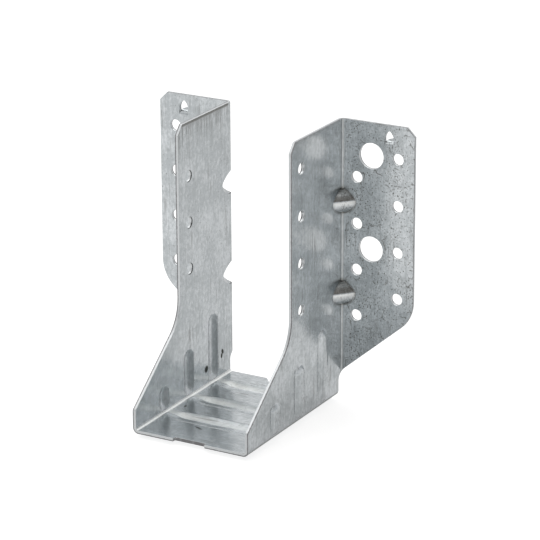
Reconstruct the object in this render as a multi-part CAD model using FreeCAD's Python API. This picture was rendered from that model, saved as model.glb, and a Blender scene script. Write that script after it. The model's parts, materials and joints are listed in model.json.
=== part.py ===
import FreeCAD, Part
import math
import os

Vector = FreeCAD.Vector

# A joist hanger, folded from one sheet of galvanised steel.
# Two side plates and a seat make a channel that holds the end of the joist. A flange, folded outward
# at the back of each side plate, is nailed or bolted to the header.
# X runs across the joist, Y from the joist to the header, and Z up.
# Origin: the middle of the channel, on the header's face, level with the face the joist bears on.

# Sheet
sheet = 1.5
fold_radius = 1.0               # inside radius of the folds

# Channel
joist_gap = 51.0                # between the side plates
plate_height = 119.0            # bearing face to top edge
seat_front = 80.0               # header's face to the front edge of the seat
seat_back = 3.7                 # header's face to the back edge of the seat
plate_front = 43.9              # header's face to the front edge of a side plate, above its throat
nose_height = 8.6               # upright front edge of a side plate, above the bearing face
nose_radius = 1.5
throat_height = 36.8            # where the sloping edge would meet the upper front edge
throat_radius = 18.0
plate_chamfer_run = 3.5
plate_chamfer_drop = 4.0

# Flanges
flange_width = 33.0             # outer face of a side plate to the outer edge
flange_root_height = 9.2        # where the sloping lower edge would meet the side plate
flange_corner_height = 37.4     # where the sloping lower edge would meet the outer edge
flange_corner_radius = 16.0
flange_chamfer = 3.6
heel_radius = 3.0               # sloping lower edge into the back edge of the side plate

# Holes, each column placed from the outer face of the side plate, each row from the top edge
nail_diameter = 5.0
bolt_diameter = 11.0
row_pitch = 20.0
nail_rows = 4
outer_nail_column = 25.5
outer_nail_drop = 14.0
inner_nail_column = 6.8
inner_nail_drop = 24.0
bolt_column = 13.4
bolt_drop = 14.1
bolt_pitch = 40.0
bolt_rows = 2

# Nail holes of the side plates: the two sides are staggered so that their nails miss each other
plate_nail_line = 36.0          # header's face to the column
right_nail_drop = 12.1
right_nail_rows = 4
left_nail_drop = 23.0
left_nail_rows = 3

# Locating tooth, cut out of each flange and folded back towards the header
tooth_column = 21.4
tooth_tip_drop = 2.5            # top edge to the point of the opening
tooth_length = 6.5              # root to point, before folding
tooth_width = 4.1
tooth_shoulder = 3.0            # root to where the straight sides end
tooth_fold_radius = 0.5

# Gusset darts, pressed across the fold between plate and flange
dart_drop = 29.6                # top edge to the tip of the first dart
dart_pitch = 40.0
dart_count = 2
dart_rise = 4.4                 # tip to crest
dart_fall = 5.9                 # crest to lower end
dart_plate_reach = 7.7
dart_flange_reach = 6.2
dart_ramp_bulge = 0.5           # the ramp from tip to crest is slightly rounded
dart_belly_bulge = 1.7          # and so is the part below the crest

# Stiffening beads, pressed outward across the plates and the seat
bead_first = 57.9               # header's face to the front bead
bead_pitch = 20.0
bead_count = 3
bead_width = 8.4                # on the side plates
seat_bead_width = 10.4
bead_depth = 1.6
bead_tip_height = 13.0          # upper end of the front bead
bead_tip_rise = 9.5             # each bead ends this much higher than the one in front
bead_side_shift = 1.4           # the beads were pressed a little off centre
bead_fade_plate = 2.8           # length over which a bead dies out above the fold
bead_fade_seat = 9.0
bead_fold_gap = 0.3             # flat left between the end of a bead and the fold
bead_bend_ratio = 1.2           # how roundly a bead turns out of the sheet, against its own radius

# Notches in the seat, off centre as the beads are
notch_centre = -0.7
front_notch_width = 14.6
front_notch_depth = 1.5
back_notch_width = 13.8
back_notch_floor = 6.0
back_notch_depth = 4.5
notch_radius = 0.4
back_notch_radius = 1.0

# Derived places
inner_face = joist_gap / 2
outer_face = inner_face + sheet
outer_radius = fold_radius + sheet
flange_fold_end = outer_face + fold_radius
flange_edge = outer_face + flange_width
flange_slope = (flange_corner_height - flange_root_height) / flange_width
reach = 2 * (flange_edge + seat_front + plate_height)
flange_foot = flange_root_height + flange_slope * fold_radius
fold_foot_height = flange_foot - flange_slope * (fold_radius + sheet / 2) * math.pi / 2
heel_height = fold_foot_height - flange_slope * (seat_back - outer_radius)
overlap = 0.5 * sheet


def flat_x(x):
    """Map outline points (u, v) to the plane at x, with u along Y and v along Z."""
    return lambda u, v: Vector(x, u, v)


def flat_y(y):
    return lambda u, v: Vector(u, y, v)


def flat_z(z):
    return lambda u, v: Vector(u, v, z)


def rounded_wire(corners, place):
    """Closed wire through (u, v, radius) corners; a corner with a radius becomes a tangent arc."""
    stations = []
    for i, (u, v, radius) in enumerate(corners):
        here = Vector(u, v, 0)
        before = Vector(*corners[i - 1][:2], 0).sub(here).normalize()
        after = Vector(*corners[(i + 1) % len(corners)][:2], 0).sub(here).normalize()
        if not radius:
            stations.append((here, None, here))
            continue
        half = before.getAngle(after) / 2
        setback = radius / math.tan(half)
        bisector = before.add(after).normalize()
        middle = here + bisector * (radius / math.sin(half) - radius)
        stations.append((here + before * setback, middle, here + after * setback))
    edges = []
    for i, (start, middle, end) in enumerate(stations):
        if middle is not None:
            arc = [place(p.x, p.y) for p in (start, middle, end)]
            edges.append(Part.Arc(*arc).toShape())
        following = stations[(i + 1) % len(stations)][0]
        if (following - end).Length > 1e-6:
            edges.append(Part.LineSegment(place(end.x, end.y), place(following.x, following.y)).toShape())
    return Part.Wire(edges)


def prism(corners, place, along):
    return Part.Face(rounded_wire(corners, place)).extrude(along)


def mirrored(shape):
    return shape.mirror(Vector(0, 0, 0), Vector(1, 0, 0))


def both_sides(shape):
    return [shape, mirrored(shape)]


def channel():
    """Seat and side plates, folded from a strip that is cut to the side outline."""
    section = [
        (-outer_face, plate_height, 0),
        (-outer_face, -sheet, outer_radius),
        (outer_face, -sheet, outer_radius),
        (outer_face, plate_height, 0),
        (inner_face, plate_height, 0),
        (inner_face, 0, fold_radius),
        (-inner_face, 0, fold_radius),
        (-inner_face, plate_height, 0),
    ]
    strip = prism(section, flat_y(-seat_front), Vector(0, seat_front - seat_back, 0))
    side = [
        (-seat_front, -reach, 0),
        (-seat_front, nose_height, nose_radius),
        (-plate_front, throat_height, throat_radius),
        (-plate_front, plate_height - plate_chamfer_drop, 0),
        (-plate_front + plate_chamfer_run, plate_height, 0),
        (reach, plate_height, 0),
        (reach, -reach, 0),
    ]
    return strip.common(prism(side, flat_x(-reach), Vector(2 * reach, 0, 0)))


def fold_foot():
    """Cutter under the fold of the right flange: the lower edge climbs as it winds round the fold."""
    middle_radius = fold_radius + sheet / 2
    pitch = flange_slope * 2 * math.pi * middle_radius
    spirals = []
    for radius in (fold_radius / 2, outer_radius + fold_radius):
        spiral = Part.makeHelix(pitch, pitch / 4, radius, 0, True)
        spiral.rotate(Vector(0, 0, 0), Vector(0, 0, 1), 180)
        spiral.translate(Vector(flange_fold_end, -outer_radius, flange_foot - pitch / 4))
        spirals.append(spiral.Edges[0])
    return Part.makeRuledSurface(*spirals).extrude(Vector(0, 0, -reach))


def heel():
    """Cutter where that edge runs on into the upright back edge of the side plate."""
    corners = [
        (-seat_back, -reach, 0),
        (-seat_back, heel_height, heel_radius),
        (-outer_radius, fold_foot_height, 0),
        (-outer_radius, -reach, 0),
    ]
    return prism(corners, flat_x(0), Vector(flange_edge, 0, 0))


def flange():
    """Right flange with its fold, cut to the front outline."""
    section = [
        (inner_face, -seat_back - overlap, 0),
        (inner_face, 0, outer_radius),
        (flange_edge, 0, 0),
        (flange_edge, -sheet, 0),
        (outer_face, -sheet, fold_radius),
        (outer_face, -seat_back - overlap, 0),
    ]
    blank = prism(section, flat_z(outer_radius), Vector(0, 0, plate_height - outer_radius))
    front = [
        (0, 0, 0),
        (flange_fold_end, 0, 0),
        (flange_fold_end, flange_foot, 0),
        (flange_edge, flange_corner_height, flange_corner_radius),
        (flange_edge, plate_height - flange_chamfer, 0),
        (flange_edge - flange_chamfer, plate_height, 0),
        (0, plate_height, 0),
    ]
    outlined = blank.common(prism(front, flat_y(-reach), Vector(0, 2 * reach, 0)))
    return outlined.cut([fold_foot(), heel()])


def column(first, count, pitch, through, diameter):
    """Punches for a column of round holes, going down from the first; through is a unit vector."""
    punches = []
    for i in range(count):
        start = first - Vector(0, 0, pitch * i) - through * sheet
        punches.append(Part.makeCylinder(diameter / 2, 3 * sheet, start, through))
    return punches


def flange_holes():
    """Two staggered columns of nail holes and a pair of bolt holes, on the right flange."""
    to_header = Vector(0, 1, 0)
    outer = Vector(outer_face + outer_nail_column, -sheet, plate_height - outer_nail_drop)
    inner = Vector(outer_face + inner_nail_column, -sheet, plate_height - inner_nail_drop)
    bolts = Vector(outer_face + bolt_column, -sheet, plate_height - bolt_drop)
    return (column(outer, nail_rows, row_pitch, to_header, nail_diameter)
            + column(inner, nail_rows, row_pitch, to_header, nail_diameter)
            + column(bolts, bolt_rows, bolt_pitch, to_header, bolt_diameter))


def plate_holes():
    """Nail holes through the side plates."""
    right = Vector(outer_face, -plate_nail_line, plate_height - right_nail_drop)
    left = Vector(-outer_face, -plate_nail_line, plate_height - left_nail_drop)
    return (column(right, right_nail_rows, row_pitch, Vector(-1, 0, 0), nail_diameter)
            + column(left, left_nail_rows, row_pitch, Vector(1, 0, 0), nail_diameter))


def pointed_arch(shoulder, point, place, along):
    """Prism over a pointed arch that starts at v = 0, with straight sides up to its shoulder."""
    half = tooth_width / 2
    rise = point - shoulder
    radius = (half ** 2 + rise ** 2) / (2 * half)
    turn = math.asin(rise / radius) / 2
    waist = half - radius + radius * math.cos(turn)
    middle = shoulder + radius * math.sin(turn)
    outline = [
        Part.LineSegment(place(-half, 0), place(half, 0)),
        Part.LineSegment(place(half, 0), place(half, shoulder)),
        Part.Arc(place(half, shoulder), place(waist, middle), place(0, point)),
        Part.Arc(place(0, point), place(-waist, middle), place(-half, shoulder)),
        Part.LineSegment(place(-half, shoulder), place(-half, 0)),
    ]
    return Part.Face(Part.Wire([edge.toShape() for edge in outline])).extrude(along)


def tooth_opening():
    x = outer_face + tooth_column
    root = plate_height - tooth_tip_drop - tooth_length

    def place(u, v):
        return Vector(x + u, -reach, root + v)

    return pointed_arch(tooth_shoulder, tooth_length, place, Vector(0, 2 * reach, 0))


def tooth():
    """The tongue from that opening, folded back about its root and pointing at the header."""
    x = outer_face + tooth_column
    root = plate_height - tooth_tip_drop - tooth_length
    bend = tooth_fold_radius + sheet
    top = root + bend
    used = math.pi / 2 * (tooth_fold_radius + sheet / 2)
    start = bend - sheet
    tip = start + tooth_length - used
    side = [
        (-sheet, root - sheet, 0),
        (-sheet, top, bend),
        (tip, top, 0),
        (tip, top - sheet, 0),
        (0, top - sheet, tooth_fold_radius),
        (0, root - sheet, 0),
    ]
    strip = prism(side, flat_x(x - tooth_width / 2), Vector(tooth_width, 0, 0))

    def place(u, v):
        return Vector(x + u, v - sheet, -reach)

    shoulder = start + tooth_shoulder - used + sheet
    plan = pointed_arch(shoulder, tip + sheet, place, Vector(0, 0, 2 * reach))
    return strip.common(plan)


def dart_solid(tip_height, shift, backing):
    """Prism along the crest of a dart, set back by shift and closed by a face behind its foot."""
    span = math.hypot(dart_flange_reach, dart_plate_reach)
    along = Vector(dart_flange_reach, dart_plate_reach, 0) * (1 / span)
    out = Vector(dart_plate_reach, -dart_flange_reach, 0) * (1 / span)
    depth = dart_flange_reach * dart_plate_reach / span
    length = 2 * (dart_flange_reach + dart_plate_reach)
    origin = Vector(outer_face, -sheet, tip_height) - along * (length / 2)

    def place(s, drop):
        return origin + out * (s - shift) - Vector(0, 0, drop)

    def bowed(s0, d0, s1, d1, bulge):
        chord = math.hypot(s1 - s0, d1 - d0)
        middle_s = (s0 + s1) / 2 + bulge * abs(d1 - d0) / chord
        middle_d = (d0 + d1) / 2 + bulge * (s0 - s1) / chord
        return Part.Arc(place(s0, d0), place(middle_s, middle_d), place(s1, d1)).toShape()

    low = dart_rise + dart_fall
    edges = [
        bowed(0, 0, depth, dart_rise, dart_ramp_bulge),
        bowed(depth, dart_rise, 0, low, dart_belly_bulge),
        Part.LineSegment(place(0, low), place(-backing, low)).toShape(),
        Part.LineSegment(place(-backing, low), place(-backing, 0)).toShape(),
        Part.LineSegment(place(-backing, 0), place(0, 0)).toShape(),
    ]
    return Part.Face(Part.Wire(edges)).extrude(along * length)


def darts():
    """What the darts add in front of the right fold and what they take from behind it."""
    corner = Vector(outer_face - overlap, -reach, 0)
    in_front = Part.makeBox(reach, reach - sheet + overlap, reach, corner)
    ribs = []
    hollows = []
    for i in range(dart_count):
        tip = plate_height - dart_drop - dart_pitch * i
        ribs.append(dart_solid(tip, 0, sheet).common(in_front))
        hollows.append(dart_solid(tip, sheet, 2 * outer_radius))
    return ribs, hollows


def rod(points, inward, radius, domed):
    """Round bar swept along a run of points, with its corners rounded and its start domed or flat.

    The seam of the bar looks inward, away from the skin that is kept.
    """
    bend = bead_bend_ratio * radius
    run = []
    last = points[0]
    for before, here, after in zip(points, points[1:], points[2:]):
        back = before.sub(here).normalize()
        ahead = after.sub(here).normalize()
        half = back.getAngle(ahead) / 2
        start = here + back * (bend / math.tan(half))
        middle = here + back.add(ahead).normalize() * (bend / math.sin(half) - bend)
        end = here + ahead * (bend / math.tan(half))
        run.append(Part.LineSegment(last, start).toShape())
        run.append(Part.Arc(start, middle, end).toShape())
        last = end
    run.append(Part.LineSegment(last, points[-1]).toShape())
    axis = points[1].sub(points[0])
    placement = FreeCAD.Placement(points[0], FreeCAD.Rotation(inward, Vector(), axis, "ZXY"))
    ring = Part.makeCircle(radius)
    ring.Placement = placement
    bar = Part.Wire(run).makePipe(Part.Face(Part.Wire(ring)))
    if not domed:
        return bar
    dome = Part.makeSphere(radius, Vector(), Vector(0, 0, 1), -90, 0, 360)
    dome.Placement = placement
    return bar.fuse(dome)


def bead_lines(skin):
    """Centre lines of the round bars that press the beads into one skin of the sheet.

    The skin is named by its distance outward from the inner faces. Each line comes with its face and
    its radius. It leaves the skin short of the fold and runs on, so that no bar ends on the sheet.
    """
    plate_radius = (bead_width ** 2 / 4 + bead_depth ** 2) / (2 * bead_depth)
    seat_radius = (seat_bead_width ** 2 / 4 + bead_depth ** 2) / (2 * bead_depth)
    plate_x = inner_face + skin + bead_depth - plate_radius
    seat_z = seat_radius - skin - bead_depth
    foot = fold_radius + bead_fold_gap
    seat_end = inner_face - foot
    bend_room = bead_bend_ratio * plate_radius * bead_depth / bead_fade_plate / 2
    lowest = foot + bead_fade_plate + bend_room + overlap
    lines = []
    for i in range(bead_count):
        y = -bead_first + bead_pitch * i
        tip = bead_tip_height + bead_tip_rise * i
        for side, sign in (("right", 1), ("left", -1)):
            dome = max(tip + sign * bead_side_shift - bead_width / 2, lowest)
            points = [
                Vector(sign * plate_x, y, dome),
                Vector(sign * plate_x, y, foot + bead_fade_plate),
                Vector(sign * (plate_x - 2 * bead_depth), y, foot - bead_fade_plate),
            ]
            lines.append((side, plate_radius, points))
        points = [
            Vector(-seat_end - bead_fade_seat, y, seat_z + 2 * bead_depth),
            Vector(bead_fade_seat - seat_end, y, seat_z),
            Vector(seat_end - bead_fade_seat, y, seat_z),
            Vector(seat_end + bead_fade_seat, y, seat_z + 2 * bead_depth),
        ]
        lines.append(("seat", seat_radius, points))
    return lines


def slab(low_x, high_x, low_z, high_z):
    """Box over all of Y."""
    return Part.makeBox(high_x - low_x, 2 * reach, high_z - low_z, Vector(low_x, -reach, low_z))


def beads():
    """Ridges outside the channel, and the grooves inside it that go with them."""
    middle = inner_face + overlap
    air = inner_face - overlap
    fade_x = inner_face - fold_radius
    ridge_room = {
        "right": slab(middle, reach, fold_radius, reach),
        "left": slab(-reach, -middle, fold_radius, reach),
        "seat": slab(-fade_x, fade_x, -reach, -overlap),
    }
    groove_room = {
        "right": slab(air, reach, fold_radius, reach),
        "left": slab(-reach, -air, fold_radius, reach),
        "seat": slab(-fade_x, fade_x, -reach, overlap),
    }
    inward = {"right": Vector(-1, 0, 0), "left": Vector(1, 0, 0), "seat": Vector(0, 0, 1)}
    ridges = [
        rod(points, inward[face], radius, face != "seat").common(ridge_room[face])
        for face, radius, points in bead_lines(sheet)
    ]
    grooves = [
        rod(points, inward[face], radius, face != "seat").common(groove_room[face])
        for face, radius, points in bead_lines(0)
    ]
    return ridges, grooves


def notches():
    """Shallow notch in the seat's front edge and a deeper, flared one in its back edge."""
    front_y = front_notch_depth - seat_front
    front = [
        (notch_centre - front_notch_width / 2, -reach, 0),
        (notch_centre - front_notch_width / 2, front_y, notch_radius),
        (notch_centre + front_notch_width / 2, front_y, notch_radius),
        (notch_centre + front_notch_width / 2, -reach, 0),
    ]
    floor_y = -seat_back - back_notch_depth
    back = [
        (notch_centre - back_notch_width / 2, 0, 0),
        (notch_centre - back_notch_width / 2, -seat_back, 0),
        (notch_centre - back_notch_floor / 2, floor_y, back_notch_radius),
        (notch_centre + back_notch_floor / 2, floor_y, back_notch_radius),
        (notch_centre + back_notch_width / 2, -seat_back, 0),
        (notch_centre + back_notch_width / 2, 0, 0),
    ]
    low = -2 * sheet - bead_depth
    return [prism(outline, flat_z(low), Vector(0, 0, -2 * low)) for outline in (front, back)]


def hanger():
    """The whole folded sheet."""
    wing = flange().cut(tooth_opening()).fuse(tooth())
    ribs, hollows = darts()
    ridges, grooves = beads()
    body = channel().fuse(both_sides(wing))
    for rib in ribs:
        body = body.fuse(both_sides(rib))
    body = body.fuse(ridges)
    cuts = grooves + notches() + plate_holes()
    for shape in hollows + flange_holes():
        cuts += both_sides(shape)
    return body.cut(cuts).removeSplitter()


def main():
    os.makedirs("parts", exist_ok=True)
    sheet_body = hanger()
    sheet_body.exportStep("parts/hanger.step")
    print("valid", sheet_body.isValid(), "solids", len(sheet_body.Solids), "volume", sheet_body.Volume)


if __name__ == "__main__":
    main()
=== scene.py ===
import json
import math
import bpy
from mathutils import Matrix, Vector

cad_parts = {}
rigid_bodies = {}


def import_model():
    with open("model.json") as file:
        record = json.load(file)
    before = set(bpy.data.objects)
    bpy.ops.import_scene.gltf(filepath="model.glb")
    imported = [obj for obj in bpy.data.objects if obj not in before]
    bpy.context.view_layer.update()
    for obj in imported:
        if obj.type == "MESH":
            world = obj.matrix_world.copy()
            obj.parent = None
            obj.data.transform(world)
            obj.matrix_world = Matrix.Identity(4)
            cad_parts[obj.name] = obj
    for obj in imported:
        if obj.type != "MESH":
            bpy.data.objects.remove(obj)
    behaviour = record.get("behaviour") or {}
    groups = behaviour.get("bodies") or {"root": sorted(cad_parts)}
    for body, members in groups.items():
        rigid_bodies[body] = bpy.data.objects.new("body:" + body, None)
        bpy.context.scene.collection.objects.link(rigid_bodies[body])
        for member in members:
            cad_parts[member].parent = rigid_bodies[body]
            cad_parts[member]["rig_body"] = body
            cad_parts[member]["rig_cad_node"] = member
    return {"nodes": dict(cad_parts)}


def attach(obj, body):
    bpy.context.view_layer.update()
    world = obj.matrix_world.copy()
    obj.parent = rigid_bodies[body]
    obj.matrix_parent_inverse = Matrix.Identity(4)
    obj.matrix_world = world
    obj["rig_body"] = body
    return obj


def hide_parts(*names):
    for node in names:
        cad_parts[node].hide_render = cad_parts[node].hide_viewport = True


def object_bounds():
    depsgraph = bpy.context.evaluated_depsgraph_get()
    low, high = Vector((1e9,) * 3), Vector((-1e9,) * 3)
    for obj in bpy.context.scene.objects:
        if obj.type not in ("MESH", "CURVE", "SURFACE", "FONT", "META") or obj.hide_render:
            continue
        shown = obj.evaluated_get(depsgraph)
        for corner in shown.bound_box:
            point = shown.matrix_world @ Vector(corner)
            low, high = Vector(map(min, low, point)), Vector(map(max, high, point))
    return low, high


bl_info = {
    "name": "Joist Hanger Looks",
    "version": (1, 0, 0),
    "blender": (4, 5, 0),
    "location": "View3D > Sidebar > Hanger",
    "description": "Gives a folded joist hanger its galvanised finish and sets up the studio round it",
    "category": "Object",
}

from functools import reduce
from types import SimpleNamespace

import bmesh
import bpy
from bpy.props import FloatProperty, FloatVectorProperty, IntProperty, PointerProperty
from bpy.types import Operator, Panel, PropertyGroup
from mathutils import Matrix, Vector
from mathutils.bvhtree import BVHTree

MM = 0.001
NODE = "hanger"
BODY = "root"

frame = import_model()
FRAME_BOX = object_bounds()
FLOOR_LEVEL = FRAME_BOX[0].z
PLATE_TOP = FRAME_BOX[1].z


class SheetSettings(PropertyGroup):
    gauge: FloatProperty(
        name="Gauge", description="Thickness of the sheet",
        default=1.5 * MM, unit="LENGTH")
    fold_radius: FloatProperty(
        name="Fold radius", description="Inside radius of the folds",
        default=1.0 * MM, unit="LENGTH")
    half_gap: FloatProperty(
        name="Half gap", description="From the middle to the inner face of a side plate",
        default=25.5 * MM, unit="LENGTH")
    plate_top: FloatProperty(
        name="Plate top", description="Height of the plates' top edge",
        default=PLATE_TOP, unit="LENGTH")
    edge_ease: FloatProperty(
        name="Edge easing", description="Width of the rounding on cut edges and creases",
        default=0.14 * MM, unit="LENGTH")
    ease_segments: IntProperty(
        name="Easing segments", description="Segments across that rounding", default=2, min=1)
    ease_angle: FloatProperty(
        name="Easing angle", description="Edges sharper than this are eased",
        default=math.radians(28), subtype="ANGLE")
    smooth_angle: FloatProperty(
        name="Smooth angle", description="Edges blunter than this shade smooth",
        default=math.radians(40), subtype="ANGLE")
    flat_angle: FloatProperty(
        name="Flat angle", description="Faces that differ by less than this become one",
        default=math.radians(0.3), subtype="ANGLE")
    bead_end_share: FloatProperty(
        name="Bead end share", description="Share of a plate bead's depth that is run out at the fold",
        default=0.97, min=0, max=1, subtype="FACTOR")
    bead_end_reach: FloatProperty(
        name="Bead end reach", description="Length over which it is run out",
        default=2.5 * MM, unit="LENGTH")
    seat_bead_first: FloatProperty(
        name="First seat bead", description="From the header's face to the middle of the front bead",
        default=57.9 * MM, unit="LENGTH")
    seat_bead_pitch: FloatProperty(
        name="Seat bead pitch", description="From bead to bead", default=20 * MM, unit="LENGTH")
    bead_zone: FloatProperty(
        name="Bead zone", description="From the header's face to where the beads may start",
        default=11 * MM, unit="LENGTH")
    weld: FloatProperty(
        name="Weld distance", description="Corners nearer than this become one",
        default=0.002 * MM, unit="LENGTH")


class FinishSettings(PropertyGroup):
    zinc: FloatVectorProperty(
        name="Zinc", description="Colour of the galvanised face",
        default=(0.74, 0.772, 0.79), subtype="COLOR", size=3, min=0, max=1)
    zinc_dull: FloatVectorProperty(
        name="Dull zinc", description="Colour of its darker blooms and streaks",
        default=(0.52, 0.552, 0.565), subtype="COLOR", size=3, min=0, max=1)
    # Colour of the painted highlights on the seat bead sides, the inner lower folds and the darts.
    painted_highlight: FloatVectorProperty(
        name="Rubbed zinc", description="Colour where the press rubbed the zinc bright",
        default=(0.89, 0.90, 0.885), subtype="COLOR", size=3, min=0, max=1)
    # This colour serves both the real drawn lines, flecks and stains and the painted shade round the
    # darts, along the flange folds and along the foot of the plates.
    grime_and_shade: FloatVectorProperty(
        name="Grime", description="Colour of the drawn lines, flecks, stains and creases",
        default=(0.14, 0.135, 0.12), subtype="COLOR", size=3, min=0, max=1)
    dark_mark: FloatVectorProperty(
        name="Handling mark", description="Colour of the few dark marks left by handling",
        default=(0.03, 0.032, 0.026), subtype="COLOR", size=3, min=0, max=1)
    burnished: FloatVectorProperty(
        name="Burnished edge", description="Colour of the smooth part of a sheared edge",
        default=(0.68, 0.70, 0.71), subtype="COLOR", size=3, min=0, max=1)
    torn: FloatVectorProperty(
        name="Torn edge", description="Colour of the rough part of a sheared edge",
        default=(0.30, 0.295, 0.30), subtype="COLOR", size=3, min=0, max=1)
    torn_hole: FloatVectorProperty(
        name="Torn hole", description="Colour of the rough part of a punched hole's wall",
        default=(0.10, 0.10, 0.10), subtype="COLOR", size=3, min=0, max=1)
    roughness: FloatProperty(
        name="Roughness", description="Roughness of the zinc", default=0.21, min=0, max=1,
        subtype="FACTOR")
    stretched_roughness: FloatProperty(
        name="Stretched roughness", description="What the zinc gains where the press stretched it",
        default=0.4, min=0, max=1, subtype="FACTOR")
    burnished_roughness: FloatProperty(
        name="Burnished roughness", description="Roughness of the smooth part of a sheared edge",
        default=0.35, min=0, max=1, subtype="FACTOR")
    torn_roughness: FloatProperty(
        name="Torn roughness", description="Roughness of the rough part of a sheared edge",
        default=0.7, min=0, max=1, subtype="FACTOR")
    torn_share: FloatProperty(
        name="Torn share", description="Part of the thickness that is torn", default=0.33, min=0,
        max=1, subtype="FACTOR")
    fleck_amount: FloatProperty(
        name="Flecks", description="How many flecks the plain faces carry", default=0.2, min=0,
        max=1, subtype="FACTOR")
    right_fleck_amount: FloatProperty(
        name="Right flecks", description="How many flecks the right flange carries", default=0.85,
        min=0, max=1, subtype="FACTOR")
    stain_amount: FloatProperty(
        name="Stain", description="How stained the right plate is beside the left one", default=0.3,
        min=0, max=1, subtype="FACTOR")
    line_strength: FloatProperty(
        name="Line strength", description="How dark the drawn lines are", default=0.4, min=0,
        max=1, subtype="FACTOR")
    fleck_strength: FloatProperty(
        name="Fleck strength", description="How dark the flecks are", default=0.85, min=0, max=1,
        subtype="FACTOR")
    stain_strength: FloatProperty(
        name="Stain strength", description="How dark the stains under the top edges are",
        default=0.8, min=0, max=1, subtype="FACTOR")
    # The foot, tip and crease settings below give the strength and reach of painted shade.
    foot_strength: FloatProperty(
        name="Foot strength", description="How dark the line along the foot of the plates is",
        default=0.6, min=0, max=1, subtype="FACTOR")
    tip_strength: FloatProperty(
        name="Tip strength", description="How dark the darts are toward their tips", default=0.6,
        min=0, max=1, subtype="FACTOR")
    crease_strength: FloatProperty(
        name="Crease strength", description="How dark the creases at the darts are", default=0.9,
        min=0, max=1, subtype="FACTOR")
    crease_reach: FloatProperty(
        name="Crease reach", description="How far the grime reaches out of those creases",
        default=1.2 * MM, unit="LENGTH")


class StageSettings(PropertyGroup):
    azimuth: FloatProperty(
        name="Azimuth", description="Camera's turn round the hanger, to its right",
        default=math.radians(29.5), subtype="ANGLE")
    elevation: FloatProperty(
        name="Elevation", description="Camera's height above the horizon",
        default=math.radians(19.21), subtype="ANGLE")
    roll: FloatProperty(
        name="Roll", description="Camera's lean", default=math.radians(-0.25), subtype="ANGLE")
    distance: FloatProperty(
        name="Distance", description="From the camera to the point it looks at",
        default=1141.3 * MM, unit="LENGTH")
    aim: FloatVectorProperty(
        name="Aim", description="Point that the camera looks at",
        default=(9.56 * MM, -30.96 * MM, 59.78 * MM), subtype="TRANSLATION", size=3)
    lens: FloatProperty(name="Lens", description="Focal length in millimetres", default=186.67)
    floor: FloatVectorProperty(
        name="Floor", description="Colour of the floor", default=(0.42, 0.42, 0.42),
        subtype="COLOR", size=3, min=0, max=1)
    floor_width: FloatProperty(
        name="Floor width", description="Width of the floor", default=6.0, unit="LENGTH")
    floor_glow: FloatProperty(
        name="Floor glow", description="What whitens the floor to the camera", default=0.78, min=0)
    near_glow: FloatProperty(
        name="Near glow", description="Glow that the metal sees in front, at the left and in the card",
        default=0.515, min=0)
    far_glow: FloatProperty(
        name="Far glow", description="Glow that the metal sees on the far side", default=0.33, min=0)
    near_side: FloatVectorProperty(
        name="Near side", description="Direction from the hanger to the brighter part of the floor",
        default=(-0.8, -0.6, 0.0), subtype="DIRECTION", size=3)
    card_place: FloatVectorProperty(
        name="Card place", description="Middle of the white card at the right",
        default=(0.25, -0.08, 0.0), subtype="TRANSLATION", size=3)
    card_radius: FloatProperty(
        name="Card radius", description="Half width of that card", default=0.18, unit="LENGTH")
    card_share: FloatProperty(
        name="Card share", description="How bright the card is beside the near floor", default=0.72,
        min=0, max=1, subtype="FACTOR")
    horizon: FloatVectorProperty(
        name="Horizon", description="Light of the studio low down", default=(0.66, 0.665, 0.675),
        subtype="COLOR", size=3, min=0, soft_max=2)
    tent_bright: FloatVectorProperty(
        name="Tent", description="Light of the tent behind and to the left",
        default=(0.94, 0.94, 0.94), subtype="COLOR", size=3, min=0, soft_max=2)
    tent_dim: FloatVectorProperty(
        name="Open side", description="Light from above the camera, where the tent is open",
        default=(0.20, 0.185, 0.17), subtype="COLOR", size=3, min=0, soft_max=2)
    tent_side: FloatVectorProperty(
        name="Tent side", description="Direction of the tent's bright middle",
        default=(-0.75, 0.5, 0.3), subtype="DIRECTION", size=3)
    lamp_place: FloatVectorProperty(
        name="Soft box place", description="From the point looked at to the soft box",
        default=(-0.1, 0.25, 0.96), subtype="TRANSLATION", size=3)
    lamp_size: FloatProperty(
        name="Soft box size", description="Width of the soft box", default=1.2, unit="LENGTH")
    lamp_power: FloatProperty(
        name="Soft box power", description="Power of the soft box", default=4.5, subtype="POWER")


def settings():
    return bpy.context.scene.hanger_looks


def mm(*lengths):
    """Lengths given in millimetres, in the scene's metres."""
    return tuple(length * MM for length in lengths)


def deselect_all():
    if bpy.context.object and bpy.context.object.mode != "OBJECT":
        bpy.ops.object.mode_set(mode="OBJECT")
    bpy.ops.object.select_all(action="DESELECT")


def make_active(obj):
    deselect_all()
    obj.select_set(True)
    bpy.context.view_layer.objects.active = obj


# Node helpers

def fill_inputs(tree, node, values):
    """Link or set the named or numbered inputs of a node."""
    for key, value in values.items():
        if isinstance(value, bpy.types.NodeSocket):
            tree.links.new(value, node.inputs[key])
        else:
            node.inputs[key].default_value = value


def add_node(tree, kind, values=None, **fields):
    """New node with its plain fields and its inputs set."""
    made = tree.nodes.new("ShaderNode" + kind)
    for field, value in fields.items():
        setattr(made, field, value)
    fill_inputs(tree, made, values or {})
    return made


def maths(tree, operation, *inputs):
    return add_node(tree, "Math", dict(enumerate(inputs)), operation=operation).outputs[0]


def vector_maths(tree, operation, *inputs):
    """A number for a dot product, length or distance, and a vector for the rest."""
    made = add_node(tree, "VectorMath", dict(enumerate(inputs)), operation=operation)
    is_number = operation in ("DOT_PRODUCT", "LENGTH", "DISTANCE")
    return made.outputs["Value" if is_number else "Vector"]


def separate(tree, vector):
    return add_node(tree, "SeparateXYZ", {0: vector}).outputs


def product(tree, *values):
    return reduce(lambda a, b: maths(tree, "MULTIPLY", a, b), values)


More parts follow.
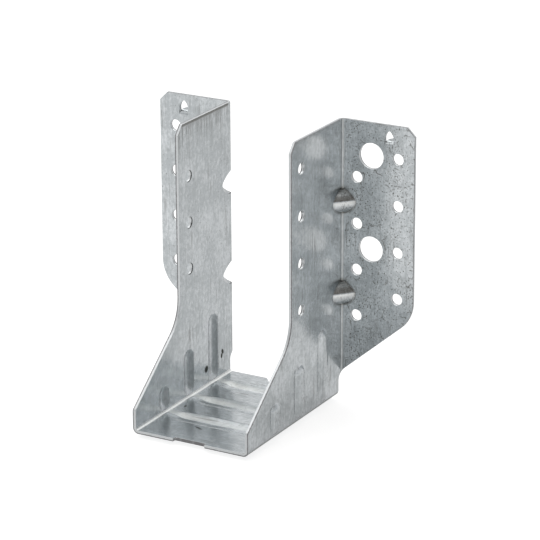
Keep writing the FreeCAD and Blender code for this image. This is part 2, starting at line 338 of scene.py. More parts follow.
def largest(tree, *values):
    return reduce(lambda a, b: maths(tree, "MAXIMUM", a, b), values)


def weighted(tree, *parts):
    """The value of each (value, share) pair times its share."""
    return [product(tree, value, share) for value, share in parts]


def weighted_sum(tree, *parts):
    return reduce(lambda a, b: maths(tree, "ADD", a, b), weighted(tree, *parts))


def inverse(tree, value):
    return maths(tree, "SUBTRACT", 1.0, value)


def ramp(tree, value, low, high):
    """Smooth step of value from 0 at low to 1 at high."""
    made = add_node(tree, "MapRange", {"Value": value, "From Min": low, "From Max": high},
                    interpolation_type="SMOOTHSTEP", clamp=True)
    return made.outputs["Result"]


def between(tree, value, rise, fall):
    """Band of value: up from 0 to 1 over the pair rise, and down over fall, given from its 0 to its 1."""
    return product(tree, ramp(tree, value, *rise), ramp(tree, value, *fall))


def mix_colour(tree, factor, a, b):
    return add_node(tree, "Mix", {0: factor, 6: a, 7: b}, data_type="RGBA").outputs[2]


def blend(tree, factor, a, b):
    return add_node(tree, "Mix", {0: factor, 2: a, 3: b}, data_type="FLOAT").outputs[0]


def noise(tree, place, scale, detail, roughness):
    made = add_node(tree, "TexNoise",
                    {"Vector": place, "Scale": scale, "Detail": detail, "Roughness": roughness})
    return made.outputs["Fac"]


def drawn_noise(tree, lay, across, along, detail, roughness, scale=1.0):
    """Noise with one fineness across the rolling direction and another along it."""
    place = add_node(tree, "Mapping", {"Vector": lay, "Scale": (across, along, 1.0)})
    return noise(tree, place.outputs["Vector"], scale, detail, roughness)


def group(name, inputs, outputs):
    """Empty node group with (kind, name, default) inputs and (kind, name) outputs."""
    tree = bpy.data.node_groups.new(name, "ShaderNodeTree")
    for kind, label, default in inputs:
        socket = tree.interface.new_socket(label, in_out="INPUT", socket_type=kind)
        if default is not None:
            socket.default_value = default
    for kind, label in outputs:
        tree.interface.new_socket(label, in_out="OUTPUT", socket_type=kind)
    return tree, tree.nodes.new("NodeGroupInput").outputs, tree.nodes.new("NodeGroupOutput").inputs


def use_group(tree, grouped, values):
    made = tree.nodes.new("ShaderNodeGroup")
    made.node_tree = grouped
    fill_inputs(tree, made, values)
    return made.outputs


# Node groups shared by the finishes

def sheet_lay_group():
    """Place on the unfolded sheet in millimetres: X across the rolling direction, Y along it."""
    seat_level = 0.6
    shift_between_sides = 37.0
    tree, given, out = group(
        "Sheet lay", [("NodeSocketVector", "Place", None)], [("NodeSocketVector", "Lay")])
    in_millimetres = add_node(
        tree, "VectorMath", {0: given["Place"], "Scale": 1 / MM}, operation="SCALE").outputs[0]
    xyz = separate(tree, in_millimetres)
    on_seat = maths(tree, "LESS_THAN", xyz["Z"], seat_level)
    round_walls = maths(tree, "ADD", xyz["X"], xyz["Y"])
    across = blend(tree, on_seat, round_walls, xyz["Y"])
    along = blend(tree, on_seat, xyz["Z"], xyz["X"])
    side = product(tree, maths(tree, "SIGN", xyz["X"]), shift_between_sides)
    lay = add_node(tree, "CombineXYZ", {0: across, 1: along, 2: side}).outputs[0]
    tree.links.new(lay, out["Lay"])
    return tree


def gauge_depth_group():
    """Depth through the sheet, from 0 on the faces toward the joist and header to 1 outside."""
    tree, given, out = group(
        "Gauge depth",
        [("NodeSocketVector", "Place", None), ("NodeSocketFloat", "Half gap", None),
         ("NodeSocketFloat", "Fold radius", None), ("NodeSocketFloat", "Gauge", None)],
        [("NodeSocketFloat", "Depth")])
    xyz = separate(tree, given["Place"])
    side = maths(tree, "ABSOLUTE", xyz["X"])
    inside, gauge = given["Fold radius"], given["Gauge"]
    outside = maths(tree, "ADD", inside, gauge)

    def from_corner(a, b):
        """Distance from the corner of two planes through a fold's axis, negative inside both."""
        positive = [maths(tree, "MAXIMUM", value, 0.0) for value in (a, b)]
        squares = [product(tree, value, value) for value in positive]
        round_part = maths(tree, "SQRT", maths(tree, "ADD", *squares))
        flat_part = maths(tree, "MINIMUM", largest(tree, a, b), 0.0)
        return maths(tree, "ADD", round_part, flat_part)

    past_side = maths(tree, "ADD", maths(tree, "SUBTRACT", side, given["Half gap"]), inside)
    past_seat = maths(tree, "SUBTRACT", inside, xyz["Z"])
    into_channel = maths(tree, "SUBTRACT", from_corner(past_side, past_seat), inside)
    channel = maths(tree, "DIVIDE", into_channel, gauge)
    axis_x = maths(tree, "ADD", given["Half gap"], outside)
    past_plate = maths(tree, "SUBTRACT", axis_x, side)
    past_flange = maths(tree, "ADD", xyz["Y"], outside)
    into_wing = maths(tree, "SUBTRACT", outside, from_corner(past_plate, past_flange))
    wing = maths(tree, "DIVIDE", into_wing, gauge)
    at_wing = maths(tree, "GREATER_THAN", past_flange, 0.0)
    above = maths(tree, "GREATER_THAN", xyz["Z"], outside)
    tree.links.new(blend(tree, product(tree, at_wing, above), channel, wing), out["Depth"])
    return tree


def rolled_grain_group():
    """Streaks along the rolling direction: broad ones, fine ones and long thin drawn lines."""
    line_edge, where_edge = (0.54, 0.68), (0.42, 0.62)
    tree, given, out = group(
        "Rolled grain", [("NodeSocketVector", "Lay", None)],
        [("NodeSocketFloat", "Streaks"), ("NodeSocketFloat", "Fine"), ("NodeSocketFloat", "Lines")])
    lay = given["Lay"]
    streaks = drawn_noise(tree, lay, across=0.7, along=0.03, detail=3.0, roughness=0.6)
    fine = drawn_noise(tree, lay, across=2.6, along=0.45, detail=3.0, roughness=0.65)
    thin = drawn_noise(tree, lay, across=1.1, along=0.05, detail=2.0, roughness=0.6)
    where = drawn_noise(tree, lay, across=0.09, along=0.05, detail=2.0, roughness=0.5)
    lines = product(tree, ramp(tree, thin, *line_edge), ramp(tree, where, *where_edge))
    tree.links.new(streaks, out["Streaks"])
    tree.links.new(fine, out["Fine"])
    tree.links.new(lines, out["Lines"])
    return tree


def cloud_group():
    """Mottled tone of the zinc skin, between 0 and 1."""
    broad_share, small_share = 0.45, 0.55
    cloud_edge = (0.32, 0.68)
    tree, given, out = group(
        "Zinc cloud", [("NodeSocketVector", "Lay", None)], [("NodeSocketFloat", "Cloud")])
    broad = noise(tree, given["Lay"], scale=0.07, detail=3.0, roughness=0.6)
    small = drawn_noise(
        tree, given["Lay"], across=1.0, along=0.7, detail=4.0, roughness=0.7, scale=0.75)
    cloud = weighted_sum(tree, (broad, broad_share), (small, small_share))
    tree.links.new(ramp(tree, cloud, *cloud_edge), out["Cloud"])
    return tree


def fleck_group():
    """Small dark dashes along the rolling direction and short crooked hairs between them."""
    highest_limit = 0.72
    amount_lowers, gathering_lowers = 0.12, 0.06
    hair_share = 0.9
    gathered_edge, dash_edge, hair_edge, break_edge = (0.35, 0.68), (0.0, 0.05), (0.01, 0.05), (0.51, 0.60)
    tree, given, out = group(
        "Flecks", [("NodeSocketVector", "Lay", None), ("NodeSocketFloat", "Amount", 0.5)],
        [("NodeSocketFloat", "Flecks")])
    lay = given["Lay"]
    gathered = ramp(tree, noise(tree, lay, scale=0.11, detail=3.0, roughness=0.6), *gathered_edge)
    drawn = drawn_noise(tree, lay, across=1.6, along=1.2, detail=2.0, roughness=0.6)
    limit = maths(tree, "SUBTRACT", highest_limit, product(tree, given["Amount"], amount_lowers))
    limit = maths(tree, "SUBTRACT", limit, product(tree, gathered, gathering_lowers))
    dashes = ramp(tree, maths(tree, "SUBTRACT", drawn, limit), *dash_edge)
    wander = add_node(tree, "TexNoise", {"Vector": lay, "Scale": 0.6, "Detail": 2.0})
    bent = vector_maths(tree, "ADD", lay, wander.outputs["Color"])
    cells = add_node(tree, "TexVoronoi", {"Vector": bent, "Scale": 0.17},
                     feature="DISTANCE_TO_EDGE").outputs["Distance"]
    hairs = inverse(tree, ramp(tree, cells, *hair_edge))
    broken = ramp(tree, noise(tree, lay, scale=0.3, detail=3.0, roughness=0.6), *break_edge)
    hairs = product(tree, hairs, broken, given["Amount"], hair_share)
    tree.links.new(largest(tree, dashes, hairs), out["Flecks"])
    return tree


def run_down_group(sheet):
    """Stain that gathers under the top edge of a plate and runs down from it."""
    longest_run, least_run = 17.0, 0.5
    run_strength, bank_strength = 0.5, 0.5
    bank_edge, line_edge = (0.8, 4.0), (0.7, 1.7)
    run_columns, bank_columns, run_fade = (0.44, 0.66), (0.3, 0.6), (0.0, 0.7)
    tree, given, out = group(
        "Run-down stain", [("NodeSocketVector", "Lay", None), ("NodeSocketFloat", "Amount", 1.0)],
        [("NodeSocketFloat", "Stain")])
    down = maths(tree, "SUBTRACT", sheet.plate_top / MM, separate(tree, given["Lay"])["Y"])
    column = drawn_noise(tree, given["Lay"], across=1.0, along=0.012, detail=3.0, roughness=0.65)
    length = product(tree, ramp(tree, column, *run_columns), longest_run)
    run = maths(tree, "DIVIDE", maths(tree, "SUBTRACT", length, down),
                maths(tree, "ADD", length, least_run))
    run = product(tree, ramp(tree, run, *run_fade), run_strength)
    bank = product(tree, inverse(tree, ramp(tree, down, *bank_edge)),
                   ramp(tree, column, *bank_columns), bank_strength)
    line = inverse(tree, ramp(tree, down, *line_edge))
    tree.links.new(product(tree, largest(tree, run, bank, line), given["Amount"]), out["Stain"])
    return tree


def spot_group():
    """Soft-edged oval mark: 1 inside, 0 outside."""
    rim = (0.35, 0.55)
    tree, given, out = group(
        "Spot",
        [("NodeSocketVector", "Place", None), ("NodeSocketVector", "Centre", None),
         ("NodeSocketVector", "Size", None), ("NodeSocketVector", "Lean", None)],
        [("NodeSocketFloat", "Mark")])
    away = vector_maths(tree, "SUBTRACT", given["Place"], given["Centre"])
    turned = add_node(tree, "VectorRotate", {"Vector": away, "Rotation": given["Lean"]},
                      rotation_type="EULER_XYZ").outputs[0]
    far = vector_maths(tree, "LENGTH", vector_maths(tree, "DIVIDE", turned, given["Size"]))
    tree.links.new(inverse(tree, ramp(tree, far, *rim)), out["Mark"])
    return tree


def shader_base(material):
    tree = material.node_tree
    tree.nodes.clear()
    shader = tree.nodes.new("ShaderNodeBsdfPrincipled")
    output = tree.nodes.new("ShaderNodeOutputMaterial")
    tree.links.new(shader.outputs["BSDF"], output.inputs["Surface"])
    return tree, shader


def new_metal(name):
    material = bpy.data.materials.new(name)
    material.use_nodes = True
    tree, shader = shader_base(material)
    shader.inputs["Metallic"].default_value = 1.0
    return material, tree, shader, add_node(tree, "TexCoord").outputs


def spot(tree, groups, place, centre, size, lean=(0, 0, 0)):
    """Oval mark, with its centre and size in millimetres and its lean in degrees."""
    return use_group(tree, groups["spot"], {
        "Place": place, "Centre": mm(*centre), "Size": mm(*size),
        "Lean": [math.radians(angle) for angle in lean]})["Mark"]


# Places of the marks, in millimetres

DART_CREST = 45.0
DART_PITCH = 40.0
DART_MIDDLES = [(29.0, -2.0, 44.2 + count * DART_PITCH) for count in range(2)]
DART_ZONE = (28, 30, 15)
CHANNEL_MIDDLE = (0, 0, 30)
NOTCH_MIDDLE = (-0.7, -78.5, -0.8)
NOTCH_ZONE = (16, 3, 5)
HANDLING_MARKS = (
    # centre, size and the lean in degrees
    ((-25.5, -23.8, 7.4), (3.0, 3.0, 3.4), (35, 0, 0)),
    ((-25.5, -10.3, 11.0), (3.0, 1.8, 2.8), (-30, 0, 0)),
    ((-25.5, -11.1, 9.3), (3.0, 1.6, 2.6), (10, 0, 0)),
    ((-21.4, -48.0, 0.0), (1.1, 2.3, 3.0), (0, 0, 0)),
    ((-4.6, -65.7, 0.0), (5.0, 1.1, 3.0), (0, 0, 21)),
)

# Zones of the face along one axis, each from where its soft edge starts to where it is full

RIGHT_FLANGE = mm(28, 29)
LEFT_PLATE = mm(-24, -25)
FLANGES = mm(-4, -3)
PLATES = mm(-3, -4)
CHANNEL = mm(-10, -12)
SEAT_BEADS = mm(-59, -58)
SEAT_RIGHT_HALF = mm(-16, 0)

# Bands with two such edges

BEAD_SIDE = (mm(0.4, 2.0), mm(5.0, 3.0))
PLATE_FOOT = (mm(-0.4, -0.2), mm(0.6, 0.3))
BELOW_CREST = (mm(0.0, 0.4), mm(3.0, 0.4))
ABOVE_CREST = (mm(0.8, 4.2), mm(6, 5))


def inner_side(tree, place, normal):
    """1 on the side of the sheet that faces into the channel, 0 on the other."""
    across = vector_maths(tree, "MULTIPLY", normal, (1.0, 0.0, 1.0))
    away = vector_maths(tree, "SUBTRACT", place, mm(*CHANNEL_MIDDLE))
    return maths(tree, "LESS_THAN", vector_maths(tree, "DOT_PRODUCT", across, away), 0.0)


def read_face(tree, groups, coords):
    """What the masks of the galvanised face are worked out from."""
    place, normal = coords["Object"], coords["Normal"]
    lay = use_group(tree, groups["lay"], {"Place": place})["Lay"]
    return SimpleNamespace(
        place=place, xyz=separate(tree, place), lay=lay,
        grain=use_group(tree, groups["grain"], {"Lay": lay}),
        facing=separate(tree, vector_maths(tree, "ABSOLUTE", normal)),
        inner=inner_side(tree, place, normal))


def zinc_tone(tree, groups, finish, face):
    """Colour between the dull and the clean zinc, by the mottling and the rolling streaks."""
    cloud_share, streak_share, fine_share = 0.42, 0.38, 0.35
    tone_edge = (0.38, 0.82)
    cloud = use_group(tree, groups["cloud"], {"Lay": face.lay})["Cloud"]
    tone = weighted_sum(tree, (cloud, cloud_share), (face.grain["Streaks"], streak_share),
                        (face.grain["Fine"], fine_share))
    return mix_colour(tree, ramp(tree, tone, *tone_edge), (*finish.zinc_dull, 1), (*finish.zinc, 1))


def painted_highlight_mask(tree, sheet, face):
    """Painted highlight: a bright band along one side of each seat bead and along the lower folds inside
    the channel.
    """
    right_band_share = 0.45
    least_highlight = 0.6
    highlight_grain_edge = (0.3, 0.7)
    xyz = face.xyz
    past_bead = maths(tree, "FLOORED_MODULO", maths(tree, "ADD", xyz["Y"], sheet.seat_bead_first),
                      sheet.seat_bead_pitch)
    by_half = blend(tree, ramp(tree, xyz["X"], *SEAT_RIGHT_HALF), 1.0, right_band_share)
    band = product(tree, between(tree, past_bead, *BEAD_SIDE), ramp(tree, xyz["Y"], *SEAT_BEADS),
                   by_half)
    low = maths(tree, "LESS_THAN", xyz["Z"], sheet.fold_radius)
    aside = maths(tree, "GREATER_THAN", maths(tree, "ABSOLUTE", xyz["X"]),
                  sheet.half_gap - sheet.fold_radius)
    on_seat = maths(tree, "SUBTRACT", low, aside)
    painted_highlight = largest(tree, product(tree, band, on_seat), product(tree, low, aside, face.inner))
    highlight_grain = blend(tree, ramp(tree, face.grain["Fine"], *highlight_grain_edge), least_highlight, 1.0)
    return product(tree, painted_highlight, highlight_grain)


def grime_and_foot_shade(tree, groups, finish, face):
    """Drawn lines, flecks and stains under the top edges, and painted shade in a dark line along the outer
    foot of the plates.
    """
    right = ramp(tree, face.xyz["X"], *RIGHT_FLANGE)
    amount = blend(tree, right, finish.fleck_amount, finish.right_fleck_amount)
    flecks = use_group(tree, groups["flecks"], {"Lay": face.lay, "Amount": amount})["Flecks"]
    left = ramp(tree, face.xyz["X"], *LEFT_PLATE)
    amount = product(tree, ramp(tree, face.xyz["Y"], *PLATES),
                     blend(tree, left, finish.stain_amount, 1.0))
    stain = use_group(tree, groups["stain"], {"Lay": face.lay, "Amount": amount})["Stain"]
    # Painted shade: a dark line along the outer foot of the plates.
    foot = product(tree, between(tree, face.xyz["Z"], *PLATE_FOOT), inverse(tree, face.inner))
    return largest(tree, *weighted(
        tree, (face.grain["Lines"], finish.line_strength), (flecks, finish.fleck_strength),
        (stain, finish.stain_strength), (foot, finish.foot_strength)))


def dart_marks(tree, groups, finish, face):
    """Two masks: painted highlight just below the crests of the darts, and painted shade in the creases
    round them, toward their tips and along their folds.
    """
    least_crest = 0.5
    fold_strength, fold_strength_on_dart = 0.5, 0.15
    open_edge, streak_edge = (0.78, 0.97), (0.35, 0.65)
    dart_slant, fold_slant, steep_slant, upright = (0.2, 0.4), (0.05, 0.3), (0.35, 0.6), (0.15, 0.05)
    at_dart = largest(tree, *[
        spot(tree, groups, face.place, middle, DART_ZONE) for middle in DART_MIDDLES])
    # Painted shade in the creases round the darts, from ambient occlusion.
    openness = add_node(tree, "AmbientOcclusion", {"Distance": finish.crease_reach},
                        samples=8, only_local=True).outputs["AO"]
    painted_dart_shade = product(tree, inverse(tree, ramp(tree, openness, *open_edge)), at_dart,
                      finish.crease_strength)
    slant = maths(tree, "MINIMUM", face.facing["X"], face.facing["Y"])
    on_dart = product(tree, ramp(tree, slant, *dart_slant), at_dart)
    above = maths(tree, "FLOORED_MODULO", maths(tree, "SUBTRACT", face.xyz["Z"], DART_CREST * MM),
                  DART_PITCH * MM)
    below = maths(tree, "SUBTRACT", DART_PITCH * MM, above)
    streaked = blend(tree, ramp(tree, face.grain["Fine"], *streak_edge), least_crest, 1.0)
    # Painted highlight just below the crests of the darts.
    painted_crest_highlight = product(tree, between(tree, below, *BELOW_CREST), streaked, on_dart)
    # Painted shade toward the tip of each dart.
    tip = product(tree, between(tree, above, *ABOVE_CREST), on_dart, finish.tip_strength)
    # Painted shade along the steep folds by the flanges.
    fold_tone = blend(tree, ramp(tree, slant, *steep_slant), fold_strength, fold_strength_on_dart)
    fold = product(tree, ramp(tree, slant, *fold_slant), ramp(tree, face.facing["Z"], *upright),
                   fold_tone, ramp(tree, face.xyz["Y"], *FLANGES))
    return painted_crest_highlight, largest(tree, painted_dart_shade, tip, fold)


def zinc_roughness(tree, finish, face, grime_and_shade, painted_highlight):
    """Roughness of the zinc: more under the lines, flecks, stains and painted shade, on the painted
    highlights, and on the beads, where the press stretched it.
    """
    fine_swing, grime_and_shade_gain = 0.1, 0.15
    highlight_share = 0.5
    bead_slope = (0.04, 0.25)
    on_beads = product(tree, ramp(tree, face.facing["Y"], *bead_slope),
                       ramp(tree, face.xyz["Y"], *CHANNEL), face.inner)
    stretched = largest(tree, on_beads, product(tree, painted_highlight, highlight_share))
    gained = weighted_sum(tree, (face.grain["Fine"], fine_swing), (grime_and_shade, grime_and_shade_gain),
                          (stretched, finish.stretched_roughness))
    return maths(tree, "ADD", finish.roughness - fine_swing / 2, gained)


def rolled_relief(tree, face):
    """Normal with the shallow relief of the rolling streaks."""
    height = weighted_sum(tree, (face.grain["Streaks"], 0.5), (face.grain["Fine"], 0.5))
    bump = add_node(tree, "Bump", {"Height": height, "Strength": 0.3, "Distance": 0.02 * MM})
    return bump.outputs["Normal"]


def zinc_face_material(groups, sheet, finish):
    """The galvanised face of the sheet: mottled zinc with rolling streaks, flecks and stains, handling
    marks, painted highlights on the seat beads, inner folds and darts, and painted shade round the darts
    and along the foot of the plates.
    """
    material, tree, shader, coords = new_metal("Galvanised face")
    face = read_face(tree, groups, coords)
    painted_highlight = painted_highlight_mask(tree, sheet, face)
    grime_and_shade = grime_and_foot_shade(tree, groups, finish, face)
    painted_crest_highlight, painted_dart_shade = dart_marks(tree, groups, finish, face)
    handled = largest(tree, *[spot(tree, groups, face.place, *mark) for mark in HANDLING_MARKS])
    colour = zinc_tone(tree, groups, finish, face)
    # Highlights and shade are painted into the colour here, besides the lines, flecks, stains and handling
    # marks.
    for mask, tint in ((painted_highlight, finish.painted_highlight), (grime_and_shade, finish.grime_and_shade), (painted_crest_highlight, finish.painted_highlight),
                       (painted_dart_shade, finish.grime_and_shade), (handled, finish.dark_mark)):
        colour = mix_colour(tree, mask, colour, (*tint, 1))
    tree.links.new(colour, shader.inputs["Base Color"])
    tree.links.new(zinc_roughness(tree, finish, face, grime_and_shade, painted_highlight), shader.inputs["Roughness"])
    tree.links.new(rolled_relief(tree, face), shader.inputs["Normal"])
    return material


def sheared_edge_material(name, groups, sheet, finish, torn_colour, torn_outside):
    """Sheared edge: burnished where the blade ran in, torn and darker where the sheet broke."""
    tear_swing, tear_edge = 0.35, 0.08
    drag_strength, drag_tone, drag_edge = 0.6, 0.8, (0.5, 0.75)
    material, tree, shader, coords = new_metal(name)
    place = coords["Object"]
    lay = use_group(tree, groups["lay"], {"Place": place})["Lay"]
    fine = use_group(tree, groups["grain"], {"Lay": lay})["Fine"]
    depth = use_group(tree, groups["depth"], {
        "Place": place, "Half gap": sheet.half_gap, "Fold radius": sheet.fold_radius,
        "Gauge": sheet.gauge})["Depth"]
    if torn_outside:
        depth = inverse(tree, depth)
    wander = maths(tree, "SUBTRACT", noise(tree, lay, scale=1.1, detail=3.0, roughness=0.6), 0.5)
    ragged = maths(tree, "ADD", depth, product(tree, wander, tear_swing))
    torn = inverse(tree, ramp(
        tree, ragged, finish.torn_share - tear_edge, finish.torn_share + tear_edge))
    # The cut edge in the front notch is darkened with the torn colour too.
    torn = largest(tree, torn, spot(tree, groups, place, NOTCH_MIDDLE, NOTCH_ZONE))
    colour = mix_colour(tree, torn, (*finish.burnished, 1), (*torn_colour, 1))
    drag_colour = tuple(drag_tone * channel for channel in finish.burnished)
    drag_lines = product(tree, ramp(tree, fine, *drag_edge), drag_strength)
    colour = mix_colour(tree, drag_lines, colour, (*drag_colour, 1))
    tree.links.new(colour, shader.inputs["Base Color"])
    tree.links.new(blend(tree, torn, finish.burnished_roughness, finish.torn_roughness),
                   shader.inputs["Roughness"])
    return material


# Mesh helpers

FACE_SLOT, OUTLINE_SLOT, HOLE_SLOT = 0, 1, 2


def is_cut_face(face, solid, gauge):
    """Whether the metal behind a face goes on for longer than the gauge, as at a sheared edge."""
    just_inside = 0.02 * MM
    reach, thickest = 4 * gauge, 1.35 * gauge
    start = face.calc_center_median() - face.normal * just_inside
    distance = solid.ray_cast(start, -face.normal, reach)[3]
    return distance is None or distance > thickest


def joined_runs(faces):
    """The faces in sets of those that hang together by their edges."""
    left = set(faces)
    while left:
        run = {left.pop()}
        border = list(run)
        while border:
            near = {other for edge in border.pop().edges for other in edge.link_faces} & left
            left -= near
            run |= near
            border += near
        yield run


def mark_cut_edges(obj, gauge):
    """Give the faces, the outline's sheared edge and the walls of the openings their own slots."""
    mesh = bmesh.new()
    mesh.from_mesh(obj.data)
    solid = BVHTree.FromBMesh(mesh)
    runs = list(joined_runs(face for face in mesh.faces if is_cut_face(face, solid, gauge)))
    outline = max(runs, key=lambda run: sum(face.calc_area() for face in run))
    for face in mesh.faces:
        face.material_index = FACE_SLOT
    for run in runs:
        for face in run:
            face.material_index = OUTLINE_SLOT if run is outline else HOLE_SLOT
    mesh.to_mesh(obj.data)
    mesh.free()


def run_out_beads(obj, sheet):
    """Let the beads of the plates die out at the lower folds, where they end in a small step."""
    rounding = 0.01
    outer_face = sheet.half_gap + sheet.gauge
    for vert in obj.data.vertices:
        x, y, z = vert.co
        left = 1 - (z - sheet.fold_radius) / sheet.bead_end_reach
        if y > -sheet.bead_zone or not 0 < left <= 1 + rounding:
            continue
        skin = outer_face if abs(x) > outer_face else sheet.half_gap
        if abs(x) > skin:
            depth = (abs(x) - skin) * (1 - sheet.bead_end_share * left)
            vert.co.x = math.copysign(skin + depth, x)


def on_bead(edge, bead_zone):
    """Whether an edge lies on the galvanised face in the part of the channel that has the beads."""
    middle = (edge.verts[0].co + edge.verts[1].co) / 2
    return middle.y < -bead_zone and all(face.material_index == FACE_SLOT for face in edge.link_faces)


def weigh_edges(obj, ease_angle, bead_zone):
    """Give the edges to be eased a bevel weight: the sharp ones, without the soft bead shoulders."""
    mesh = bmesh.new()
    mesh.from_mesh(obj.data)
    weight = mesh.edges.layers.float.new("bevel_weight_edge")
    for edge in mesh.edges:
        sharp = len(edge.link_faces) == 2 and edge.calc_face_angle() > ease_angle
        edge[weight] = 1.0 if sharp and not on_bead(edge, bead_zone) else 0.0
    mesh.to_mesh(obj.data)
    mesh.free()


def soften_beads(obj, bead_zone):
    """Let the bead shoulders shade softly."""
    mesh = bmesh.new()
    mesh.from_mesh(obj.data)
    for edge in mesh.edges:
        if on_bead(edge, bead_zone):
            edge.smooth = True
    mesh.to_mesh(obj.data)
    mesh.free()


def edit_whole(edit, **values):
    """Run one operator of edit mode on the whole active mesh."""
    bpy.ops.object.mode_set(mode="EDIT")
    bpy.ops.mesh.select_all(action="SELECT")
    edit(**values)
    bpy.ops.object.mode_set(mode="OBJECT")


def copy_of_solid(context, name):
    """Free copy of the CAD solid, active and alone in the selection."""
    make_active(frame["nodes"][NODE])
    bpy.ops.object.duplicate()
    piece = context.object
    piece.name = name
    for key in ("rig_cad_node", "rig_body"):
        if key in piece:
            del piece[key]
    piece.parent = None
    make_active(piece)
    return piece


def ease_edges(piece, sheet):
    """Round the weighted edges and shade the piece smooth, led by its wide faces."""
    ease = piece.modifiers.new("Ease edges", "BEVEL")
    ease.width = sheet.edge_ease
    ease.segments = sheet.ease_segments
    ease.limit_method = "WEIGHT"
    ease.harden_normals = True
    ease.use_clamp_overlap = False
    bpy.ops.object.modifier_apply(modifier=ease.name)
    bpy.ops.object.shade_smooth_by_angle(angle=sheet.smooth_angle)
    soften_beads(piece, sheet.bead_zone)
    weigh = piece.modifiers.new("Weigh normals", "WEIGHTED_NORMAL")
    weigh.keep_sharp = True
    bpy.ops.object.modifier_apply(modifier=weigh.name)


def sheet_materials(sheet, finish):
    """Materials in the order of their slots: face, outline and holes."""
    groups = {
        "lay": sheet_lay_group(), "depth": gauge_depth_group(), "grain": rolled_grain_group(),
        "cloud": cloud_group(), "flecks": fleck_group(), "spot": spot_group(),
        "stain": run_down_group(sheet),
    }
    return (
        zinc_face_material(groups, sheet, finish),
        sheared_edge_material("Sheared outline", groups, sheet, finish, finish.torn, True),
        sheared_edge_material("Punched edge", groups, sheet, finish, finish.torn_hole, False))


class HANGER_OT_sheet(Operator):
    """Dress the folded sheet: eased edges, galvanised faces and sheared edges"""
    bl_idname = "hanger.sheet"
    bl_label = "Folded sheet"

    def execute(self, context):
        sheet = settings().sheet
        piece = copy_of_solid(context, "folded_sheet")
        edit_whole(bpy.ops.mesh.remove_doubles, threshold=sheet.weld)
        piece.data.materials.clear()
        for material in sheet_materials(sheet, settings().finish):
            piece.data.materials.append(material)
        mark_cut_edges(piece, sheet.gauge)
        edit_whole(bpy.ops.mesh.dissolve_limited, angle_limit=sheet.flat_angle, delimit={"MATERIAL"})
        run_out_beads(piece, sheet)
        weigh_edges(piece, sheet.ease_angle, sheet.bead_zone)
        ease_edges(piece, sheet)
        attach(piece, BODY)
        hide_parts(NODE)
        return {"FINISHED"}


def floor_material(stage):
    """Pale floor that shows white to the camera and keeps the shadow.

    The metal sees it white in front, to the left and in a card at the right, and duller behind.
    """
    near_edge = (-0.05, 0.2)
    card_core = 0.55
    material = bpy.data.materials.new("Pale floor")
    material.use_nodes = True
    tree, shader = shader_base(material)
    shader.inputs["Base Color"].default_value = (*stage.floor, 1)
    shader.inputs["Roughness"].default_value = 0.9
    shader.inputs["Specular IOR Level"].default_value = 0.0
    path = add_node(tree, "LightPath").outputs
    place = add_node(tree, "TexCoord").outputs["Object"]
    near = vector_maths(tree, "DOT_PRODUCT", place, tuple(stage.near_side))
    off_card = vector_maths(tree, "DISTANCE", place, tuple(stage.card_place))
    card = ramp(tree, off_card, stage.card_radius, card_core * stage.card_radius)
    lit = largest(tree, ramp(tree, near, *near_edge), product(tree, card, stage.card_share))
    mirrored = product(tree, largest(tree, path["Is Glossy Ray"], path["Is Transmission Ray"]),
                       blend(tree, lit, stage.far_glow, stage.near_glow))
    seen = product(tree, path["Is Camera Ray"], stage.floor_glow)
    shader.inputs["Emission Color"].default_value = (1, 1, 1, 1)
    tree.links.new(largest(tree, seen, mirrored), shader.inputs["Emission Strength"])
    return material


def studio_world(stage):
    """Even light near the horizon under a tent that is bright behind and left, dim in front."""
    tent_edge, horizon_edge = (-0.25, 0.3), (0.2, 0.6)
    world = bpy.data.worlds.new("Studio")
    bpy.context.scene.world = world
    world.use_nodes = True
    tree = world.node_tree
    tree.nodes.clear()
    direction = add_node(tree, "TexCoord").outputs["Generated"]
    height = separate(tree, direction)["Z"]
    toward = vector_maths(tree, "DOT_PRODUCT", direction, Vector(stage.tent_side).normalized())
    tent = mix_colour(tree, ramp(tree, toward, *tent_edge), (*stage.tent_dim, 1),
                      (*stage.tent_bright, 1))
    studio = mix_colour(tree, ramp(tree, height, *horizon_edge), (*stage.horizon, 1), tent)
    lit = add_node(tree, "Background", {"Color": studio, "Strength": 1.0}).outputs[0]
    white = add_node(tree, "Background", {"Color": (1, 1, 1, 1), "Strength": 1.0}).outputs[0]
    seen = add_node(tree, "LightPath").outputs["Is Camera Ray"]
    mixed = add_node(tree, "MixShader", {0: seen, 1: lit, 2: white}).outputs[0]
    output = tree.nodes.new("ShaderNodeOutputWorld")
    tree.links.new(mixed, output.inputs["Surface"])


def soft_box(name, place, aim, width, power):
    """Square lamp at a place, turned to the aim."""
    data = bpy.data.lights.new(name, "AREA")
    data.shape = "SQUARE"
    data.size = width
    data.energy = power
    lamp = bpy.data.objects.new(name, data)
    lamp.location = place
    lamp.rotation_mode = "QUATERNION"
    lamp.rotation_quaternion = (aim - place).to_track_quat("-Z", "Y")
    bpy.context.scene.collection.objects.link(lamp)


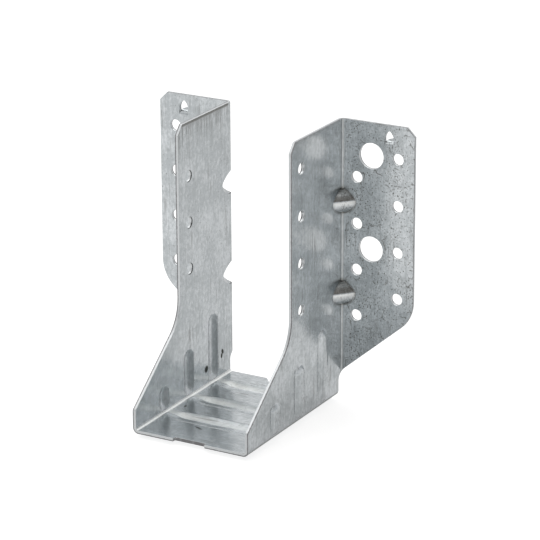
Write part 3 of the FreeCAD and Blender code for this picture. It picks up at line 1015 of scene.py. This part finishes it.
def photo_camera(stage, aim):
    """Camera at the photograph's viewpoint."""
    turn, rise, roll = stage.azimuth, stage.elevation, stage.roll
    back = Vector((math.sin(turn) * math.cos(rise), -math.cos(turn) * math.cos(rise),
                   math.sin(rise)))
    right = Vector((math.cos(turn), math.sin(turn), 0))
    up = back.cross(right)
    right, up = (right * math.cos(roll) + up * math.sin(roll),
                 up * math.cos(roll) - right * math.sin(roll))
    data = bpy.data.cameras.new("Photo camera")
    data.lens = stage.lens
    data.sensor_width = 36.0
    data.clip_start = 0.05
    data.clip_end = 20.0
    camera = bpy.data.objects.new("photo_camera", data)
    camera.matrix_world = Matrix.Translation(aim + back * stage.distance) @ Matrix(
        (right, up, back)).transposed().to_4x4()
    bpy.context.scene.collection.objects.link(camera)
    return camera


class HANGER_OT_stage(Operator):
    """Floor, studio light and the camera at the photograph's viewpoint"""
    bl_idname = "hanger.stage"
    bl_label = "Stage"

    def execute(self, context):
        stage = settings().stage
        deselect_all()
        bpy.ops.mesh.primitive_plane_add(size=stage.floor_width, location=(0, 0, FLOOR_LEVEL))
        floor = context.object
        floor.name = "floor"
        floor.data.materials.append(floor_material(stage))
        studio_world(stage)
        aim = Vector(stage.aim)
        soft_box("soft_box", aim + Vector(stage.lamp_place), aim, stage.lamp_size, stage.lamp_power)
        context.scene.camera = photo_camera(stage, aim)
        context.scene.view_settings.view_transform = "Standard"
        return {"FINISHED"}


class HangerLooks(PropertyGroup):
    sheet: PointerProperty(type=SheetSettings)
    finish: PointerProperty(type=FinishSettings)
    stage: PointerProperty(type=StageSettings)


OPERATORS = (HANGER_OT_sheet, HANGER_OT_stage)


class HANGER_PT_looks(Panel):
    """Sizes, colours and steps of the hanger's looks"""
    bl_idname = "HANGER_PT_looks"
    bl_label = "Hanger"
    bl_space_type = "VIEW_3D"
    bl_region_type = "UI"
    bl_category = "Hanger"

    def draw(self, context):
        looks = context.scene.hanger_looks
        for part in (looks.sheet, looks.finish, looks.stage):
            for name in part.bl_rna.properties.keys():
                if name not in ("rna_type", "name"):
                    self.layout.prop(part, name)
        for operator in OPERATORS:
            self.layout.operator(operator.bl_idname)


CLASSES = (SheetSettings, FinishSettings, StageSettings, HangerLooks, *OPERATORS, HANGER_PT_looks)


def register():
    for cls in CLASSES:
        bpy.utils.register_class(cls)
    bpy.types.Scene.hanger_looks = PointerProperty(type=HangerLooks)


def unregister():
    del bpy.types.Scene.hanger_looks
    for cls in reversed(CLASSES):
        bpy.utils.unregister_class(cls)


def main():
    register()
    bpy.ops.hanger.sheet()
    bpy.ops.hanger.stage()


if __name__ == "__main__":
    main()
